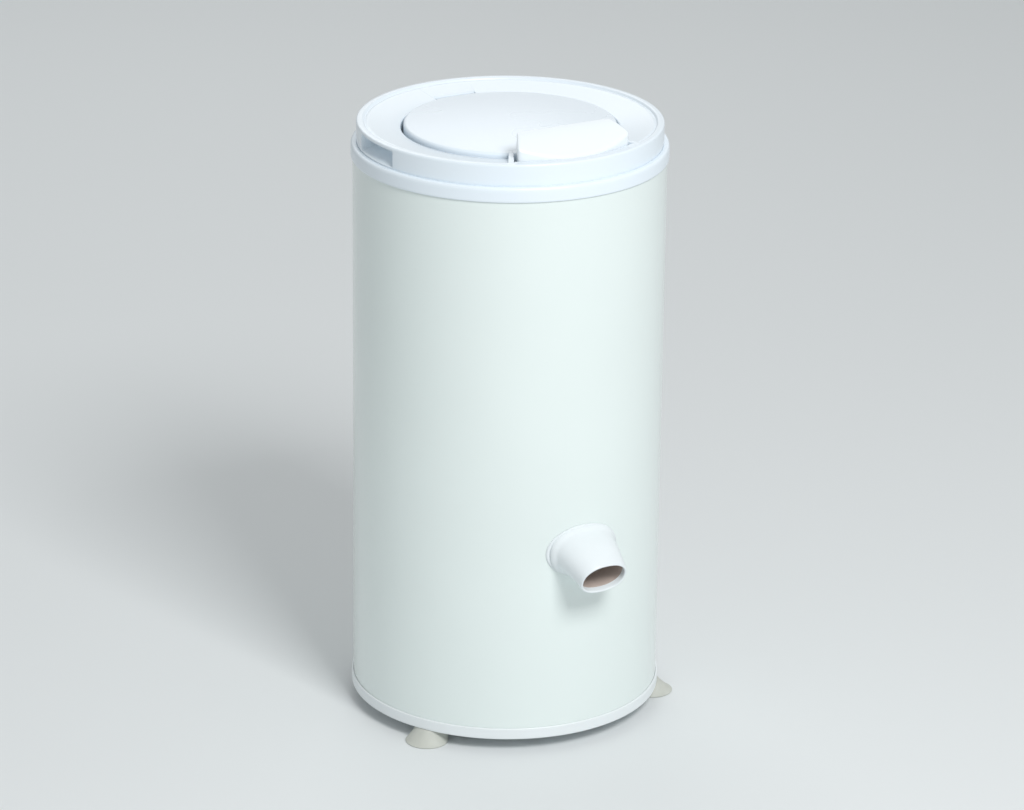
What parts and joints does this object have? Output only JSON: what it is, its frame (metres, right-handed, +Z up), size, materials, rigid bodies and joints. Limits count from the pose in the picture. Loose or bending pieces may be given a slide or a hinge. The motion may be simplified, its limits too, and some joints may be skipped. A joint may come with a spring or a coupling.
{
  "type": "laundry spin dryer",
  "caption": "Tall round free-standing spin dryer with a hinged top lid, a lever handle, side grips, a drain spout low at the front and flared feet.",
  "frame": {"origin": "on the drum axis, at the floor that the feet stand on", "axes": "+Z up along the drum axis, -Y towards the spout and the handle, +X to the viewer's right of the spout"},
  "size_m": [0.344, 0.412, 0.6938],
  "materials": {
    "casing_paint": "gloss enamel",
    "frame_plastic": "smooth moulded",
    "lid_plastic": "smooth moulded",
    "handle_plastic": "smooth moulded",
    "spout_plastic": "smooth moulded",
    "base_plastic": "smooth moulded",
    "tub_plastic": "moulded",
    "cap_plastic": "moulded",
    "dark_plastic": "moulded",
    "block_plastic": "moulded",
    "foot_rubber": "matte",
    "dark_rubber": "matte",
    "steel": "zinc plated",
    "spring_steel": "drawn wire",
    "drum_steel": "brushed stainless",
    "aluminium": "cast",
    "carrier_paint": "satin",
    "motor_paint": "satin",
    "copper": "enamelled wire",
    "lining": "matte"
  },
  "bodies": {
    "chassis": {"outer_casing": "casing_paint", "base_pan": "base_plastic", "foot_front_left": "foot_rubber", "foot_front_right": "foot_rubber", "foot_rear": "foot_rubber", "foot_screws": "steel", "collar_ring": "frame_plastic", "top_frame": "frame_plastic", "frame_screws": "steel", "hinge_bracket": "steel", "hinge_pin": "steel", "strike_plate": "steel", "interlock_housing": "dark_plastic", "tub": "tub_plastic", "drain_sump": "tub_plastic", "tub_cover": "tub_plastic", "opening_seal": "dark_rubber", "drain_sleeve": "dark_rubber", "spout": "spout_plastic", "spout_gasket": "dark_rubber", "motor_carrier": "carrier_paint", "buffer_front": "dark_rubber", "buffer_right": "dark_rubber", "buffer_left": "dark_rubber", "buffer_bolts": "steel", "motor_lower_cap": "aluminium", "motor_shell": "motor_paint", "stator_core": "steel", "stator_windings": "copper", "motor_upper_cap": "aluminium", "motor_bolts": "steel", "motor_bearings": "steel", "shaft_seal": "dark_rubber", "brake_pivot": "steel", "brake_spring": "spring_steel", "brake_cable": "dark_plastic", "capacitor": "aluminium", "capacitor_clip": "dark_plastic", "terminal_block": "block_plastic", "cable_gland": "dark_rubber"},
    "lid": {"lid_cover": "lid_plastic", "lid_liner": "lid_plastic", "lid_seal": "dark_rubber", "hinge_leaf": "steel", "handle_pin": "steel", "handle_spring": "spring_steel"},
    "handle": {"lid_handle": "handle_plastic", "latch_hook": "steel"},
    "slider": {"interlock_slider": "lid_plastic"},
    "rotor": {"spin_drum": "drum_steel", "drum_hub": "aluminium", "hub_nut": "steel", "hub_cap": "cap_plastic", "water_slinger": "dark_rubber", "drive_shaft": "steel", "motor_rotor": "aluminium", "brake_drum": "steel", "cooling_fan": "dark_plastic"},
    "brake": {"brake_arm": "steel", "brake_lining": "lining"}
  },
  "joints": [
    {"name": "lid_hinge", "type": "hinge", "parent": "chassis", "child": "lid", "pos_m": [0, 0.121, 0.657], "axis": [-1, 0, 0], "range_deg": [0, 95]},
    {"name": "handle_lift", "type": "hinge", "parent": "lid", "child": "handle", "pos_m": [0, -0.143, 0.666], "axis": [1, 0, 0], "range_deg": [0, 15], "stiffness_Nm_per_rad": 0.8, "springref_deg": -14.32},
    {"name": "interlock_slide", "type": "slide", "parent": "chassis", "child": "slider", "axis": [0, 1, 0], "range_m": [0, 0.00775]},
    {"name": "brake_swing", "type": "hinge", "parent": "chassis", "child": "brake", "pos_m": [0.047, 0.03, 0.203], "axis": [0, 0, -1], "range_deg": [0, 1.7], "deforming": ["brake_spring"]},
    {"name": "drum_spin", "type": "hinge", "parent": "chassis", "child": "rotor", "pos_m": [0, 0, 0.3], "axis": [0, 0, 1], "continuous": true}
  ],
  "couplings": [
    {"joint": "interlock_slide", "follows": "handle_lift", "m_per_rad": 0.0296},
    {"joint": "brake_swing", "follows": "handle_lift", "ratio": 0.1133}
  ]
}
